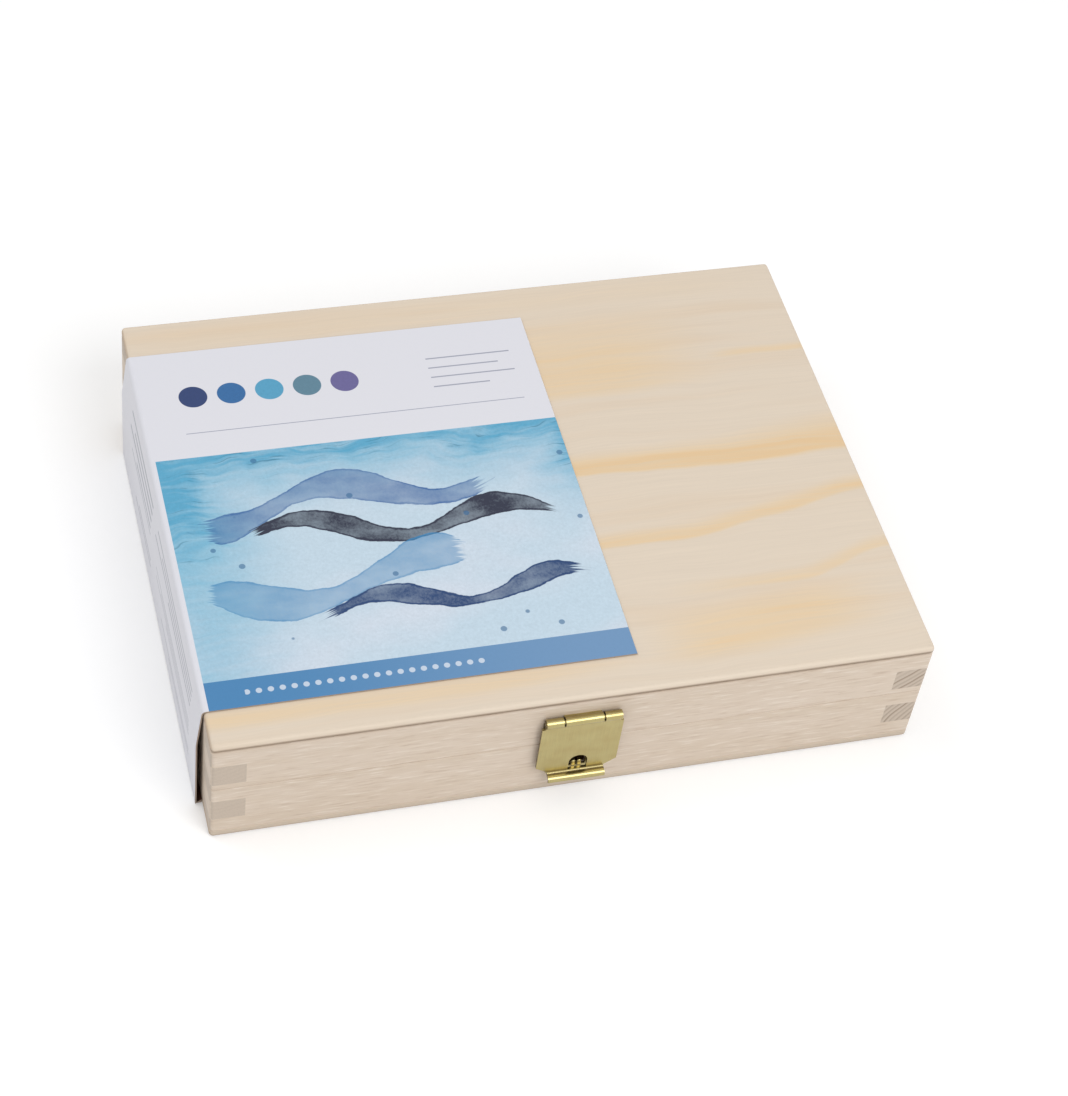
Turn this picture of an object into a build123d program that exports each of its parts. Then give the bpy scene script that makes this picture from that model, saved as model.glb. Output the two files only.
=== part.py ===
from build123d import *
import math
import os

# A flat wooden box for five paint tubes. The origin is the centre of its bottom face,
# +X runs to the right along the latch side, +Y to the hinges at the back and +Z up.
# All sizes are in millimetres.

# Paint tubes, which the bays are made to fit
tube_count = 5
tube_radius = 10.0
tube_length = 84.8
crimp_length = 5.0
crimp_thickness = 2.2
tube_end_thickness = 1.0
tube_flat = 0.6
tube_sides = 32
shoulder_height = 3.0
shoulder_top_radius = 6.0
neck_radius = 4.3
neck_length = 9.0
cap_length = 14.0
cap_mouth_radius = 7.3
cap_top_radius = 6.8
cap_top_ease = 0.7
cap_rib_count = 16
cap_collar = 1.5
cap_collar_ledge = 0.3
cap_clearance = 0.08
cap_gap = 0.3

# Bays inside the base
bay_side_clearance = 0.4
bay_end_clearance = 1.8
brush_bay_depth = 17.0
divider_thickness = 2.0
divider_height = 11.0
divider_round = 0.6
dado_depth = 0.8
tube_floor_gap = 0.3

# Boards of the box
board_thickness = 9.0
panel_thickness = 2.5
base_rim_height = 17.7
lid_rim_height = 15.3
finger_height = 7.5
base_finger_margin = 5.2
lid_finger_margin = 5.8
corner_round = 1.1
outer_round = 1.0
joint_ease = 0.35
lid_panel_ease = 0.8
parting_ease = 0.2

# Butt hinges at the back
hinge_spacing = 110.0
hinge_length = 20.0
hinge_sheet = 0.8
hinge_pin_radius = 0.8
hinge_middle_knuckle = 6.6
hinge_face_gap = 0.2
leaf_gap = 0.05
leaf_inner_wall = 2.0

# Brass latch at the front
latch_width = 21.6
latch_sheet = 0.65
latch_pin_radius = 0.6
latch_pin_overhang = 0.15
latch_barrel_inset = 0.8
latch_middle_knuckle = 10.0
latch_knuckle_gap = 0.5
latch_axis_drop = 4.8
latch_shoulder_drop = 2.2
latch_lip_width = 15.2
latch_lip_height = 6.7
latch_taper_height = 2.2
latch_bend_radius = 0.85
lip_flat = 0.5
lip_drop = 0.15
flap_gap = 0.2
window_shift = 0.4
window_width = 5.0
window_height = 5.6
fixed_leaf_margin = 2.3
catch_width = 15.0
catch_margin = 1.2
catch_overlap = 1.4
prong_width = 1.2
prong_slot = 0.4
prong_height = 3.0
prong_ease = 0.2
catch_pocket_depth = 2.5
nail_head_height = 0.4

# Play shared by the metal fittings
pin_clearance = 0.05
hinge_knuckle_gap = 0.1
barrel_face_gap = 0.35
hole_clearance = 0.05

# Printed card folded over the left edge of the lid
card_thickness = 0.4
card_clearance = 0.1
card_reach = 111.5
card_width = 123.6
card_shift = -0.9
card_fold_overhang = 0.25
card_bulge = 1.45
card_bulge_drop = 13.0
card_fold_radius = 1.0
card_bulge_radius = 8.0
card_floor_gap = 0.4

# Derived sizes of the contents
crimp_width = math.pi * tube_radius + tube_flat
bay_width = crimp_width + 2 * bay_side_clearance
tube_tilt = math.atan2(tube_radius - crimp_thickness / 2, tube_length + crimp_length)
cap_reach = shoulder_height + cap_gap + cap_length
tube_bay_depth = (tube_length + crimp_length + cap_reach) * math.cos(tube_tilt) + 2 * bay_end_clearance

# Derived sizes of the box
inner_length = tube_count * bay_width + (tube_count - 1) * divider_thickness
inner_depth = brush_bay_depth + divider_thickness + tube_bay_depth
box_length = inner_length + 2 * board_thickness
box_depth = inner_depth + 2 * board_thickness
side_x = box_length / 2 - board_thickness / 2
side_y = box_depth / 2 - board_thickness / 2
base_low = panel_thickness
parting = base_low + base_rim_height
lid_high = parting + lid_rim_height
box_height = lid_high + panel_thickness
base_finger_low = base_low + base_finger_margin
lid_finger_low = lid_high - lid_finger_margin - finger_height

# Derived places of the bays
cross_y = -inner_depth / 2 + brush_bay_depth + divider_thickness / 2
tube_bay_front = cross_y + divider_thickness / 2
tube_bay_back = inner_depth / 2
shoulder_y = tube_bay_front + bay_end_clearance + cap_reach * math.cos(tube_tilt)
shoulder_z = panel_thickness + tube_floor_gap + tube_radius * math.cos(tube_tilt)
bay_pitch = bay_width + divider_thickness
tube_places = [(number - (tube_count - 1) / 2) * bay_pitch for number in range(tube_count)]
divider_places = [(number - (tube_count - 2) / 2) * bay_pitch for number in range(tube_count - 1)]

# Derived sizes of the hinges
hinge_bore = hinge_pin_radius + pin_clearance
hinge_barrel = hinge_bore + hinge_sheet
hinge_y = box_depth / 2 + hinge_barrel + hinge_face_gap
hinge_places = [-hinge_spacing / 2, hinge_spacing / 2]
leaf_front_y = box_depth / 2 - board_thickness + leaf_inner_wall
leaf_back_y = box_depth / 2 - leaf_gap

# Derived sizes of the latch, measured outwards from the front face
front = box_depth / 2
latch_bore = latch_pin_radius + pin_clearance
latch_barrel = latch_bore + latch_sheet
latch_out = latch_barrel + barrel_face_gap
latch_z = lid_high - latch_axis_drop
latch_barrel_length = latch_width - 2 * latch_barrel_inset
flap_out = latch_sheet + nail_head_height + flap_gap + latch_sheet / 2
flap_low = base_low + latch_lip_height
flap_taper_z = flap_low + latch_bend_radius
flap_side_low = flap_taper_z + latch_taper_height
flap_side_high = latch_z - latch_shoulder_drop
fixed_leaf_low = parting + fixed_leaf_margin
fixed_leaf_high = latch_z - latch_barrel - barrel_face_gap
catch_low = flap_low - catch_overlap
catch_high = parting - catch_margin
knuckle_start = latch_middle_knuckle / 2 + latch_knuckle_gap

os.makedirs("parts", exist_ok=True)


def save(piece, name):
    piece.part.label = name
    export_step(piece.part, f"parts/{name}.step")


def outline_block(low, high):
    """The box's outline between two heights, with rounded upright corners."""
    with BuildPart() as block:
        with BuildSketch(Plane.XY.offset(low)):
            RectangleRounded(box_length, box_depth, corner_round)
        extrude(amount=high - low)
    return block.part


def rim_outline(low, high, low_ease, high_ease):
    """Outer shape of a rim, with its top and bottom edges eased."""
    with BuildPart() as rim:
        add(outline_block(low, high))
        chamfer(rim.faces().sort_by(Axis.Z)[0].edges(), low_ease)
        chamfer(rim.faces().sort_by(Axis.Z)[-1].edges(), high_ease)
    return rim.part


def thin_panel(low, outer_face, inner_ease):
    """Top or bottom board, rounded outside and eased where it meets the rim.
    outer_face is the place of its outer face among its faces sorted by height."""
    joint_face = -1 - outer_face
    with BuildPart() as panel:
        add(outline_block(low, low + panel_thickness))
        fillet(panel.faces().sort_by(Axis.Z)[outer_face].edges(), outer_round)
        chamfer(panel.faces().sort_by(Axis.Z)[joint_face].edges(), inner_ease)
    return panel


def long_board(side, low, high, finger_low, outline):
    """Front or back board of a rim, notched at both ends for the fingers of the side boards."""
    with BuildPart() as board:
        with BuildSketch(Plane.XY.offset(low)):
            with Locations((0, side * side_y)):
                Rectangle(box_length, board_thickness)
        extrude(amount=high - low)
        with BuildSketch(Plane.XY.offset(finger_low)):
            with Locations((-side_x, side * side_y), (side_x, side * side_y)):
                Rectangle(board_thickness, board_thickness)
        extrude(amount=finger_height, mode=Mode.SUBTRACT)
        add(outline, mode=Mode.INTERSECT)
    return board


def side_board(side, low, high, finger_low, outline):
    """Left or right board of a rim, with a finger at each end."""
    with BuildPart() as board:
        with BuildSketch(Plane.XY.offset(low)):
            with Locations((side * side_x, 0)):
                Rectangle(board_thickness, inner_depth)
        extrude(amount=high - low)
        with BuildSketch(Plane.XY.offset(finger_low)):
            with Locations((side * side_x, 0)):
                Rectangle(board_thickness, box_depth)
        extrude(amount=finger_height)
        add(outline, mode=Mode.INTERSECT)
    return board


def hinge_seats(half):
    """The shallow recesses of both hinge leaves in a back board. half is 1 for the lid, -1 for the base."""
    with BuildPart() as seats:
        with BuildSketch(Plane.XY.offset(parting)):
            with Locations(*[(center_x, (leaf_front_y + front) / 2) for center_x in hinge_places]):
                Rectangle(hinge_length + 2 * hole_clearance, front - leaf_front_y)
        extrude(amount=half * (leaf_gap + hinge_sheet))
    return seats.part


def latch_window():
    """Arched opening in the flap and the catch, and outline of the pocket in the wood behind them."""
    arch_z = flap_taper_z + window_height - window_width / 2
    with Locations((window_shift, (flap_taper_z + arch_z) / 2)):
        Rectangle(window_width, arch_z - flap_taper_z)
    with Locations((window_shift, arch_z)):
        Circle(window_width / 2)


# Base
base_outline = rim_outline(base_low, parting, joint_ease, parting_ease)

with BuildPart() as base_front_board:
    add(long_board(-1, base_low, parting, base_finger_low, base_outline))
    with BuildSketch(Plane.XZ.offset(front)):
        latch_window()
    extrude(amount=-catch_pocket_depth, mode=Mode.SUBTRACT)
save(base_front_board, "base_front_board")

with BuildPart() as base_back_board:
    add(long_board(1, base_low, parting, base_finger_low, base_outline))
    add(hinge_seats(-1), mode=Mode.SUBTRACT)
save(base_back_board, "base_back_board")

base_left_board = side_board(-1, base_low, parting, base_finger_low, base_outline)
save(base_left_board, "base_left_board")

base_right_board = side_board(1, base_low, parting, base_finger_low, base_outline)
save(base_right_board, "base_right_board")

base_bottom_panel = thin_panel(0, 0, joint_ease)
save(base_bottom_panel, "base_bottom_panel")

# Dividers of the base: one across, and one between each pair of tubes, set into it
with BuildPart() as base_cross_divider:
    with BuildSketch(Plane.XY.offset(panel_thickness)):
        with Locations((0, cross_y)):
            Rectangle(inner_length, divider_thickness)
    extrude(amount=divider_height)
    top_edges = base_cross_divider.faces().sort_by(Axis.Z)[-1].edges()
    fillet(top_edges.filter_by(Axis.X), divider_round)
    with BuildSketch(Plane.XY.offset(panel_thickness)):
        with Locations(*[(center_x, tube_bay_front - dado_depth / 2) for center_x in divider_places]):
            Rectangle(divider_thickness, dado_depth)
    extrude(amount=divider_height, mode=Mode.SUBTRACT)
save(base_cross_divider, "base_cross_divider")

divider_length = tube_bay_back - tube_bay_front + dado_depth
for number, center_x in enumerate(divider_places, start=1):
    with BuildPart() as tube_divider:
        with BuildSketch(Plane.XY.offset(panel_thickness)):
            with Locations((center_x, tube_bay_back - divider_length / 2)):
                Rectangle(divider_thickness, divider_length)
        extrude(amount=divider_height)
        top_edges = tube_divider.faces().sort_by(Axis.Z)[-1].edges()
        fillet(top_edges.filter_by(Axis.Y), divider_round)
    save(tube_divider, f"tube_divider_{number}")

# Lid
lid_outline = rim_outline(parting, lid_high, parting_ease, joint_ease)

lid_front_board = long_board(-1, parting, lid_high, lid_finger_low, lid_outline)
save(lid_front_board, "lid_front_board")

with BuildPart() as lid_back_board:
    add(long_board(1, parting, lid_high, lid_finger_low, lid_outline))
    add(hinge_seats(1), mode=Mode.SUBTRACT)
save(lid_back_board, "lid_back_board")

lid_left_board = side_board(-1, parting, lid_high, lid_finger_low, lid_outline)
save(lid_left_board, "lid_left_board")

lid_right_board = side_board(1, parting, lid_high, lid_finger_low, lid_outline)
save(lid_right_board, "lid_right_board")

lid_top_panel = thin_panel(lid_high, -1, lid_panel_ease)
save(lid_top_panel, "lid_top_panel")


# Hinges
def hinge_leaf(center_x, half, knuckles):
    """A leaf let into one board, and the knuckles that it curls into behind the box.
    half is 1 for the lid and -1 for the base."""
    with BuildPart() as leaf:
        with BuildSketch(Plane.XY.offset(parting + half * leaf_gap)):
            with Locations((center_x, (leaf_front_y + leaf_back_y) / 2)):
                Rectangle(hinge_length, leaf_back_y - leaf_front_y)
            for start, end in knuckles:
                with Locations((center_x + (start + end) / 2, (leaf_back_y + hinge_y) / 2)):
                    Rectangle(end - start, hinge_y - leaf_back_y)
        extrude(amount=half * hinge_sheet)
        for start, end in knuckles:
            with BuildSketch(Plane.YZ.offset(center_x + start)):
                with Locations((hinge_y, parting)):
                    Circle(hinge_barrel)
            extrude(amount=end - start)
        with BuildSketch(Plane.YZ.offset(center_x - hinge_length / 2)):
            with Locations((hinge_y, parting)):
                Circle(hinge_bore)
        extrude(amount=hinge_length, mode=Mode.SUBTRACT)
    return leaf


def hinge_pin(center_x):
    with BuildPart() as pin:
        with BuildSketch(Plane.YZ.offset(center_x - hinge_length / 2)):
            with Locations((hinge_y, parting)):
                Circle(hinge_pin_radius)
        extrude(amount=hinge_length)
    return pin


middle_half = hinge_middle_knuckle / 2
outer_start = middle_half + hinge_knuckle_gap
lid_knuckles = [(-middle_half, middle_half)]
base_knuckles = [(-hinge_length / 2, -outer_start), (outer_start, hinge_length / 2)]
for hinge_name, center_x in zip(["left", "right"], hinge_places):
    save(hinge_leaf(center_x, -1, base_knuckles), f"hinge_{hinge_name}_base_leaf")
    save(hinge_leaf(center_x, 1, lid_knuckles), f"hinge_{hinge_name}_lid_leaf")
    save(hinge_pin(center_x), f"hinge_{hinge_name}_pin")

# Latch: the flap, a bent sheet with two knuckles, an arched window and a curled lip
with BuildPart() as latch_flap:
    with BuildSketch(Plane.YZ.offset(-latch_width / 2)):
        with BuildLine():
            plate = Line((-front - flap_out, latch_z), (-front - flap_out, flap_low + latch_bend_radius))
            hollow = JernArc(plate @ 1, plate % 1, latch_bend_radius, -90)
            shelf = Line(hollow @ 1, hollow @ 1 + Vector(-lip_flat, 0))
            nose = JernArc(shelf @ 1, shelf % 1, latch_bend_radius, 90)
            Line(nose @ 1, nose @ 1 + Vector(0, -lip_drop))
            offset(amount=latch_sheet / 2, kind=Kind.ARC, side=Side.BOTH, mode=Mode.REPLACE)
        make_face()
    extrude(amount=latch_width)
    with BuildSketch(Plane.XZ.offset(front)):
        with BuildLine():
            Polyline(
                (0, latch_z),
                (latch_barrel_length / 2, latch_z),
                (latch_barrel_length / 2, flap_side_high),
                (latch_width / 2, flap_side_high),
                (latch_width / 2, flap_side_low),
                (latch_lip_width / 2, flap_taper_z),
                (latch_lip_width / 2, base_low),
                (0, base_low),
            )
            mirror(about=Plane.YZ)
        make_face()
    extrude(amount=front, mode=Mode.INTERSECT)
    with BuildSketch(Plane.XZ.offset(front)):
        latch_window()
        with Locations((0, (fixed_leaf_high + latch_z) / 2)):
            Rectangle(2 * knuckle_start, latch_z - fixed_leaf_high)
    extrude(amount=latch_out + latch_barrel, mode=Mode.SUBTRACT)
    for start in (-latch_barrel_length / 2, knuckle_start):
        with BuildSketch(Plane.YZ.offset(start)):
            with Locations((-front - latch_out, latch_z)):
                Circle(latch_barrel)
        extrude(amount=latch_barrel_length / 2 - knuckle_start)
    with BuildSketch(Plane.YZ.offset(-latch_barrel_length / 2)):
        with Locations((-front - latch_out, latch_z)):
            Circle(latch_bore)
    extrude(amount=latch_barrel_length, mode=Mode.SUBTRACT)
save(latch_flap, "latch_flap")

# The leaf behind the flap, nailed to the lid, and its knuckle between those of the flap
with BuildPart() as latch_fixed_leaf:
    with BuildSketch(Plane.XZ.offset(front)):
        with Locations((0, (fixed_leaf_low + fixed_leaf_high) / 2)):
            Rectangle(latch_barrel_length, fixed_leaf_high - fixed_leaf_low)
        with Locations((0, (fixed_leaf_low + latch_z + latch_bore) / 2)):
            Rectangle(latch_middle_knuckle, latch_z + latch_bore - fixed_leaf_low)
    extrude(amount=latch_sheet)
    with BuildSketch(Plane.YZ.offset(-latch_middle_knuckle / 2)):
        with Locations((-front - latch_out, latch_z)):
            Circle(latch_barrel)
    extrude(amount=latch_middle_knuckle)
    with BuildSketch(Plane.YZ.offset(-latch_middle_knuckle / 2)):
        with Locations((-front - latch_out, latch_z)):
            Circle(latch_bore)
    extrude(amount=latch_middle_knuckle, mode=Mode.SUBTRACT)
save(latch_fixed_leaf, "latch_fixed_leaf")

with BuildPart() as latch_pin:
    with BuildSketch(Plane.YZ.offset(-latch_barrel_length / 2 - latch_pin_overhang)):
        with Locations((-front - latch_out, latch_z)):
            Circle(latch_pin_radius)
    extrude(amount=latch_barrel_length + 2 * latch_pin_overhang)
save(latch_pin, "latch_pin")

# The catch on the base: a nailed plate with two prongs that rise into its own arched opening,
# seen through the window of the flap
with BuildPart() as latch_catch:
    with BuildSketch(Plane.XZ.offset(front)):
        with Locations((0, (catch_low + catch_high) / 2)):
            Rectangle(catch_width, catch_high - catch_low)
    extrude(amount=latch_sheet)
    with BuildSketch(Plane.XZ.offset(front)):
        latch_window()
    extrude(amount=latch_sheet, mode=Mode.SUBTRACT)
    with BuildSketch(Plane.XZ.offset(front)):
        tip_z = flap_low + prong_height - prong_width / 2
        prong_reach = (prong_slot + prong_width) / 2
        for prong_x in (window_shift - prong_reach, window_shift + prong_reach):
            with Locations((prong_x, (flap_low + tip_z) / 2)):
                Rectangle(prong_width, tip_z - flap_low)
            with Locations((prong_x, tip_z)):
                Circle(prong_width / 2)
    extrude(amount=latch_sheet + nail_head_height)
    chamfer(latch_catch.faces().sort_by(Axis.Y)[:2].edges(), prong_ease)
save(latch_catch, "latch_catch")


# Sleeve: printed card that lies on the lid and hangs down over the left side, bulging a little
card_top = box_height + card_clearance + card_thickness / 2
card_left = -box_length / 2
card_side_x = card_left - card_bulge - card_thickness / 2
with BuildPart() as sleeve_card:
    with BuildSketch(Plane.XZ.offset(card_width / 2 - card_shift)):
        with BuildLine():
            FilletPolyline(
                (card_left + card_reach, card_top),
                (card_left - card_fold_overhang, card_top),
                (card_side_x, box_height - card_bulge_drop),
                (card_side_x, card_floor_gap),
                radius=(card_fold_radius, card_bulge_radius),
            )
            offset(amount=card_thickness / 2, side=Side.BOTH, mode=Mode.REPLACE)
        make_face()
    extrude(amount=-card_width)
save(sleeve_card, "sleeve_card")


# Paint tubes, drawn with their shoulder at the origin and their crimp up along Z
# The metal sheet keeps its girth while it goes from round to flat, so seen from every side
# around its length the tube's outline is a trapezoid, with the sloping shoulder below it
with BuildPart() as paint_tube:
    for side in range(tube_sides // 2):
        turn = 360 * side / tube_sides
        spread = abs(math.cos(math.radians(turn))) / 2
        top = tube_flat * spread + shoulder_top_radius
        near = tube_flat * spread + tube_radius
        far = (crimp_width - tube_end_thickness) * spread + tube_end_thickness / 2
        with BuildSketch(Plane.XZ.rotated((0, 0, turn))):
            with BuildLine():
                outline = Polyline((top, -shoulder_height), (near, 0), (far, tube_length), (0, tube_length))
                Line((0, -shoulder_height), outline @ 0)
                mirror(about=Plane.YZ)
            make_face()
        extrude(amount=crimp_width, both=True, mode=Mode.INTERSECT if side else Mode.ADD)
    with BuildSketch(Plane.XY.offset(tube_length)):
        Rectangle(crimp_width, crimp_thickness)
    extrude(amount=crimp_length)
    with BuildSketch(Plane.XY.offset(-shoulder_height)):
        Circle(neck_radius)
    extrude(amount=-neck_length)


def cap_ribs(radius):
    """Ribbed outline of a cap: two polygons laid crosswise over each other."""
    corners = cap_rib_count // 2
    RegularPolygon(radius, corners)
    RegularPolygon(radius, corners, rotation=180 / corners)


# Screw cap with a collar at its mouth and ribs for the fingers, closed at its far end
cap_mouth = -shoulder_height - cap_gap
with BuildPart() as tube_cap:
    with BuildSketch(Plane.XY.offset(cap_mouth - cap_collar)):
        cap_ribs(cap_mouth_radius)
    with BuildSketch(Plane.XY.offset(cap_mouth - cap_length + cap_top_ease)):
        cap_ribs(cap_top_radius)
    with BuildSketch(Plane.XY.offset(cap_mouth - cap_length)):
        cap_ribs(cap_top_radius - cap_top_ease)
    loft(ruled=True)
    with BuildSketch(Plane.XY.offset(cap_mouth)):
        RegularPolygon(cap_mouth_radius + cap_collar_ledge, tube_sides)
    extrude(amount=-cap_collar)
    with BuildSketch(Plane.XY.offset(cap_mouth)):
        Circle(neck_radius + cap_clearance)
    extrude(amount=-neck_length, mode=Mode.SUBTRACT)


def in_bay(form, center_x):
    """A tube or cap laid in its bay on its flattening side, with its shoulder end tipped up a little."""
    along = (0, math.cos(tube_tilt), -math.sin(tube_tilt))
    shoulder = Plane(origin=(center_x, shoulder_y, shoulder_z), x_dir=(1, 0, 0), z_dir=along)
    with BuildPart() as laid:
        with Locations(shoulder):
            add(form.part)
    return laid


for number, center_x in enumerate(tube_places, start=1):
    save(in_bay(paint_tube, center_x), f"tube_{number}_body")
    save(in_bay(tube_cap, center_x), f"tube_{number}_cap")
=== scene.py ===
import math

import bmesh
import bpy
from mathutils import Matrix, Vector


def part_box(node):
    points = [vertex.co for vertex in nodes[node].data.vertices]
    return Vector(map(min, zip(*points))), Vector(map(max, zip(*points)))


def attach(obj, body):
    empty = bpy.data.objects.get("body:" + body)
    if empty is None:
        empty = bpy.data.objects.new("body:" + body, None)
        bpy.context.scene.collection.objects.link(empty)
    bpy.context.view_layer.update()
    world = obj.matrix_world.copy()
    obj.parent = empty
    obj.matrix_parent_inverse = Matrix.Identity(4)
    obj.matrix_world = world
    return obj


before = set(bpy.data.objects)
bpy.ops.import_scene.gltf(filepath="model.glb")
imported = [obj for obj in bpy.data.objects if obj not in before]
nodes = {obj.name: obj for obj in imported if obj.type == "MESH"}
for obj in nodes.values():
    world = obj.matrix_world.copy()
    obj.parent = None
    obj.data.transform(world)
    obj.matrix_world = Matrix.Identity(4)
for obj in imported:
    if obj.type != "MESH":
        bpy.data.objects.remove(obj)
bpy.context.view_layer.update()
scene = bpy.context.scene
MM = 0.001


def srgb(red, green, blue):
    """A display colour of 0 to 255 as linear values, with alpha."""
    linear = []
    for value in (red, green, blue):
        share = value / 255
        linear.append(share / 12.92 if share <= 0.04045 else ((share + 0.055) / 1.055) ** 2.4)
    return (*linear, 1.0)


class Material:
    """A Principled material whose node tree is written like sums. Lengths are in millimetres."""

    def __init__(self, name):
        self.data = bpy.data.materials.new(name)
        self.data.use_nodes = True
        self.tree = self.data.node_tree
        self.tree.nodes.clear()
        self.shader = self.tree.nodes.new("ShaderNodeBsdfPrincipled")
        output = self.tree.nodes.new("ShaderNodeOutputMaterial")
        self.tree.links.new(self.shader.outputs["BSDF"], output.inputs["Surface"])
        coordinates = self.tree.nodes.new("ShaderNodeTexCoord")
        self.place = self.vector("SCALE", coordinates.outputs["Object"], scale=1 / MM)
        self.x, self.y, self.z = self.split(self.place)
        self.normal_x, self.normal_y, self.normal_z = self.split(coordinates.outputs["Normal"])

    def feed(self, socket, value):
        if isinstance(value, bpy.types.NodeSocket):
            self.tree.links.new(value, socket)
        else:
            socket.default_value = value

    def vector(self, operation, first, second=None, scale=None):
        node = self.tree.nodes.new("ShaderNodeVectorMath")
        node.operation = operation
        self.feed(node.inputs[0], first)
        if second is not None:
            self.feed(node.inputs[1], second)
        if scale is not None:
            node.inputs["Scale"].default_value = scale
        return node.outputs["Value" if operation == "LENGTH" else "Vector"]

    def split(self, vector):
        node = self.tree.nodes.new("ShaderNodeSeparateXYZ")
        self.feed(node.inputs[0], vector)
        return node.outputs

    def join(self, x, y, z=0.0):
        node = self.tree.nodes.new("ShaderNodeCombineXYZ")
        for socket, value in zip(node.inputs, (x, y, z)):
            self.feed(socket, value)
        return node.outputs[0]

    def math(self, operation, first, second=0.0, third=0.0, clamp=False):
        node = self.tree.nodes.new("ShaderNodeMath")
        node.operation = operation
        node.use_clamp = clamp
        for socket, value in zip(node.inputs, (first, second, third)):
            self.feed(socket, value)
        return node.outputs[0]

    def fold(self, operation, values):
        total = values[0]
        for value in values[1:]:
            total = self.math(operation, total, value)
        return total

    def add(self, *values):
        return self.fold("ADD", values)

    def times(self, *values):
        return self.fold("MULTIPLY", values)

    def highest(self, *values):
        return self.fold("MAXIMUM", values)

    def less(self, first, second):
        return self.math("SUBTRACT", first, second)

    def size_of(self, value):
        return self.math("ABSOLUTE", value)

    def length(self, x, y):
        return self.vector("LENGTH", self.join(x, y))

    def line(self, variable, slope, offset):
        return self.math("MULTIPLY_ADD", variable, slope, offset)

    def step(self, value, low, high, start=0.0, end=1.0):
        """Eases from start to end while value goes from low to high."""
        node = self.tree.nodes.new("ShaderNodeMapRange")
        node.interpolation_type = "SMOOTHSTEP"
        if low > high:
            low, high, start, end = high, low, end, start
        for socket, item in zip(node.inputs, (value, low, high, start, end)):
            self.feed(socket, item)
        return node.outputs[0]

    def band(self, value, low, high, edge):
        """1 where value lies between low and high, with soft edges of that width."""
        rise = self.step(value, low - edge, low + edge)
        return self.times(rise, self.step(value, high + edge, high - edge))

    def stretch(self, x, y, z=0.0):
        """The place divided by these lengths along its axes. 0 leaves an axis out."""
        shares = [1 / length if length else 0.0 for length in (x, y, z)]
        return self.vector("MULTIPLY", self.place, shares)

    def scaled(self, *pairs):
        """A place made of two or three values, each divided by a length."""
        return self.join(*[self.line(value, 1 / length, 0.0) for value, length in pairs])

    def noise(self, place, detail=3.0, roughness=0.5, seed=0.0):
        """Noise around 0, mostly between -0.5 and 0.5."""
        node = self.tree.nodes.new("ShaderNodeTexNoise")
        node.noise_dimensions = "4D"
        self.feed(node.inputs["Vector"], place)
        for socket, value in (("W", seed), ("Scale", 1.0), ("Detail", detail), ("Roughness", roughness)):
            node.inputs[socket].default_value = value
        return self.less(node.outputs["Fac"], 0.5)

    def cells(self, place):
        """Distance to the nearest of a scatter of points, and a random colour for each."""
        node = self.tree.nodes.new("ShaderNodeTexVoronoi")
        self.feed(node.inputs["Vector"], place)
        node.inputs["Scale"].default_value = 1.0
        return node.outputs["Distance"], node.outputs["Color"]

    def mix(self, share, first, second):
        """Goes from the first colour to the second. A share outside 0 to 1 is cut off there."""
        node = self.tree.nodes.new("ShaderNodeMix")
        node.data_type = "RGBA"
        node.clamp_factor = True
        self.feed(node.inputs[0], share)
        self.feed(node.inputs[6], first)
        self.feed(node.inputs[7], second)
        return node.outputs[2]

    def shade(self, colour, amount):
        """The colour made lighter or darker by a share of itself."""
        factor = self.math("ADD", amount, 1.0)
        plain = colour if isinstance(colour, bpy.types.NodeSocket) else colour[:3]
        return self.vector("MULTIPLY", plain, self.join(factor, factor, factor))

    def bump(self, height, strength, distance):
        node = self.tree.nodes.new("ShaderNodeBump")
        node.inputs["Strength"].default_value = strength
        node.inputs["Distance"].default_value = distance
        self.feed(node.inputs["Height"], height)
        self.tree.links.new(node.outputs["Normal"], self.shader.inputs["Normal"])

    def finish(self, colour, roughness, **settings):
        self.feed(self.shader.inputs["Base Color"], colour)
        self.feed(self.shader.inputs["Roughness"], roughness)
        for name, value in settings.items():
            self.feed(self.shader.inputs[name.replace("_", " ")], value)
        return self.data


# Wood
# Colour of the painted shade at the joints and towards the floor
JOINT_SHADE = srgb(120, 92, 66)
# Colour of the painted shade in the pocket behind the latch's window
POCKET_SHADE = srgb(72, 46, 22)
TOP_PALE = srgb(226, 211, 192)
TOP_WARM = srgb(225, 205, 181)
TOP_END = srgb(196, 172, 146)
STREAK = srgb(232, 204, 163)
STREAK_CORE = srgb(227, 190, 144)
RIM_PALE = srgb(221, 205, 188)
RIM_WARM = srgb(216, 199, 180)
RIM_FLECK = srgb(199, 178, 158)
RIM_GLINT = srgb(232, 219, 205)
RIM_END = srgb(201, 186, 170)
RIM_RING = srgb(150, 130, 112)
DIVIDER_PALE = srgb(226, 206, 176)
DIVIDER_WARM = srgb(216, 192, 158)
DIVIDER_EDGE = srgb(202, 176, 142)

# Lines of painted shade below the top board, at the parting and above the bottom board. Each has
# its lowest and highest z, the softness of its edges and its strength.
JOINT_SHADE_BANDS = ((35.5, 36.75, 0.4, 0.72), (20.12, 20.28, 0.14, 0.5), (2.35, 2.65, 0.2, 0.3))
# Painted shade that darkens the bottom board towards the floor, from one z to another, at a strength
FOOT_SHADES = ((2.2, 0.1, 0.66), (2.7, 2.3, 0.26))
# Where the outer faces begin, from the box's middle
OUTER_X, OUTER_Y = (93.4, 94.2), (71.9, 72.7)
# The pocket in the front board, behind the latch's window, which gets painted shade
POCKET_HALF_X, POCKET_Z, POCKET_Y = (3.8, 3.5), (8.0, 19.5), (-73.3, -70.8)

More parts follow.
